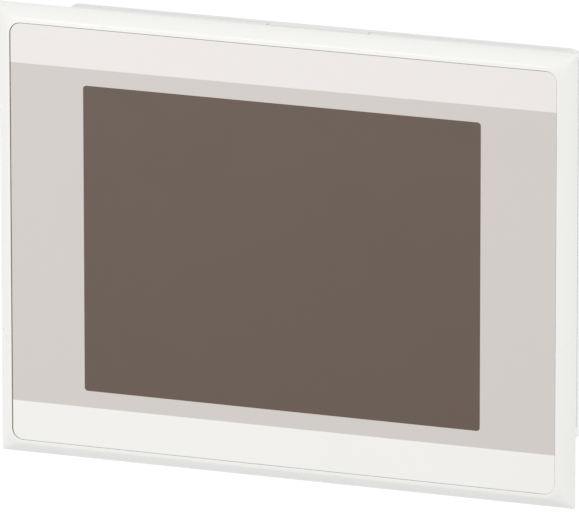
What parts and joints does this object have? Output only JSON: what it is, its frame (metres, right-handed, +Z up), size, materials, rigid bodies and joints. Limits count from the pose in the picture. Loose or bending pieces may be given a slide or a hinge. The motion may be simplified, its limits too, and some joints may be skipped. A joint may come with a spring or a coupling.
{
  "type": "hmi touch panel",
  "caption": "Flush panel-mount operator touch display with a white mitred front frame, laminated front film and shallow rear housing with sockets in a recess.",
  "frame": {"origin": "centre of the panel cut-out, in the plane of the panel's front face (the gasket's sealing plane)", "axes": "+X to the right as the operator sees the front, +Y into the cabinet (the screen faces -Y), +Z up"},
  "size_m": [0.17, 0.039, 0.13],
  "materials": {
    "white_moulding": "fine-textured white moulded plastic",
    "front_sheet": "hard-coated printed polyester, satin",
    "adhesive": "clear to yellowish tape",
    "clear_film": "clear conductive film",
    "sensor_glass": "polished",
    "amber_ribbon": "polyimide film",
    "foam": "closed-cell foam",
    "seal_rubber": "moulded elastomer",
    "sheet_steel": "zinc-plated sheet steel",
    "display_glass": "dark polarised glass",
    "diffuser": "milky sheet",
    "acrylic": "polished clear acrylic",
    "led_strip": "moulded LEDs on a white strip",
    "tray_plastic": "white moulded plastic",
    "screw_steel": "zinc-plated",
    "plated_brass": "turned brass",
    "board_green": "solder mask on glass laminate",
    "chip_black": "moulded epoxy",
    "socket_cream": "moulded plastic",
    "sink_aluminium": "extruded, plain",
    "can_grey": "sleeved cans and moulded coils",
    "tinned_shell": "tinned sheet",
    "insert_black": "moulded plastic",
    "tongue_white": "moulded plastic",
    "terminal_green": "moulded plastic",
    "contact_metal": "tinned and gilt contacts",
    "card_black": "moulded plastic",
    "cell_steel": "nickel-plated steel",
    "button_red": "moulded plastic",
    "blank_label": "blank silver-grey label"
  },
  "bodies": {
    "case": {"front_frame": "white_moulding", "front_film": "front_sheet", "film_adhesive": "adhesive", "touch_film": "clear_film", "touch_glass": "sensor_glass", "touch_flex": "amber_ribbon", "dust_gasket": "foam", "panel_gasket": "seal_rubber", "lcd_bezel": "sheet_steel", "lcd_cell": "display_glass", "diffuser_sheet": "diffuser", "light_guide": "acrylic", "led_bar": "led_strip", "lcd_tray": "tray_plastic", "lcd_flex": "amber_ribbon", "backlight_lead": "socket_cream", "carrier_plate": "sheet_steel", "carrier_screws": "screw_steel", "board_spacers": "plated_brass", "main_board": "board_green", "board_screws": "screw_steel", "flex_sockets": "socket_cream", "processor": "chip_black", "heat_sink": "sink_aluminium", "memory_chips": "chip_black", "interface_chips": "chip_black", "power_parts": "can_grey", "network_shell": "tinned_shell", "network_insert": "insert_black", "usb_host_shell": "tinned_shell", "usb_host_tongue": "tongue_white", "usb_device_shell": "tinned_shell", "usb_device_tongue": "tongue_white", "serial_shell": "tinned_shell", "serial_insert": "insert_black", "jack_screws": "screw_steel", "power_header": "terminal_green", "header_pins": "contact_metal", "card_socket": "tinned_shell", "cell_holder": "chip_black", "coin_cell": "cell_steel", "cell_clip": "contact_metal", "reset_switch": "chip_black", "rear_housing": "white_moulding", "rear_screws": "screw_steel", "rating_plate": "blank_label"},
    "power_plug": {"power_plug": "terminal_green", "plug_contacts": "contact_metal"},
    "memory_card": {"memory_card": "card_black"},
    "reset_button": {"reset_button": "button_red"},
    "terminal_screw_1": {"terminal_screw_1": "screw_steel"},
    "wire_clamp_1": {"wire_clamp_1": "screw_steel"},
    "terminal_screw_2": {"terminal_screw_2": "screw_steel"},
    "wire_clamp_2": {"wire_clamp_2": "screw_steel"},
    "terminal_screw_3": {"terminal_screw_3": "screw_steel"},
    "wire_clamp_3": {"wire_clamp_3": "screw_steel"}
  },
  "joints": [
    {"name": "reset_press", "type": "slide", "parent": "case", "child": "reset_button", "axis": [0, 0, 1], "range_m": [0, 0.0006], "stiffness_N_per_m": 300, "springref_m": -0.0005},
    {"name": "card_pull", "type": "slide", "parent": "case", "child": "memory_card", "axis": [1, 0, 0], "range_m": [0, 0.024]},
    {"name": "plug_pull", "type": "slide", "parent": "case", "child": "power_plug", "axis": [0, 0, -1], "range_m": [0, 0.012]},
    {"name": "clamp_lift_1", "type": "slide", "parent": "power_plug", "child": "wire_clamp_1", "axis": [0, -1, 0], "range_m": [0, 0.0016]},
    {"name": "screw_turn_1", "type": "hinge", "parent": "power_plug", "child": "terminal_screw_1", "pos_m": [-0.05708, 0.0196, -0.04955], "axis": [0, 1, 0], "range_deg": [0, 1152.5]},
    {"name": "clamp_lift_2", "type": "slide", "parent": "power_plug", "child": "wire_clamp_2", "axis": [0, -1, 0], "range_m": [0, 0.0016]},
    {"name": "screw_turn_2", "type": "hinge", "parent": "power_plug", "child": "terminal_screw_2", "pos_m": [-0.052, 0.0196, -0.04955], "axis": [0, 1, 0], "range_deg": [0, 1152.5]},
    {"name": "clamp_lift_3", "type": "slide", "parent": "power_plug", "child": "wire_clamp_3", "axis": [0, -1, 0], "range_m": [0, 0.0016]},
    {"name": "screw_turn_3", "type": "hinge", "parent": "power_plug", "child": "terminal_screw_3", "pos_m": [-0.04692, 0.0196, -0.04955], "axis": [0, 1, 0], "range_deg": [0, 1152.5]}
  ],
  "couplings": [
    {"joint": "screw_turn_1", "follows": "clamp_lift_1", "rad_per_m": 12566},
    {"joint": "screw_turn_2", "follows": "clamp_lift_2", "rad_per_m": 12566},
    {"joint": "screw_turn_3", "follows": "clamp_lift_3", "rad_per_m": 12566}
  ]
}
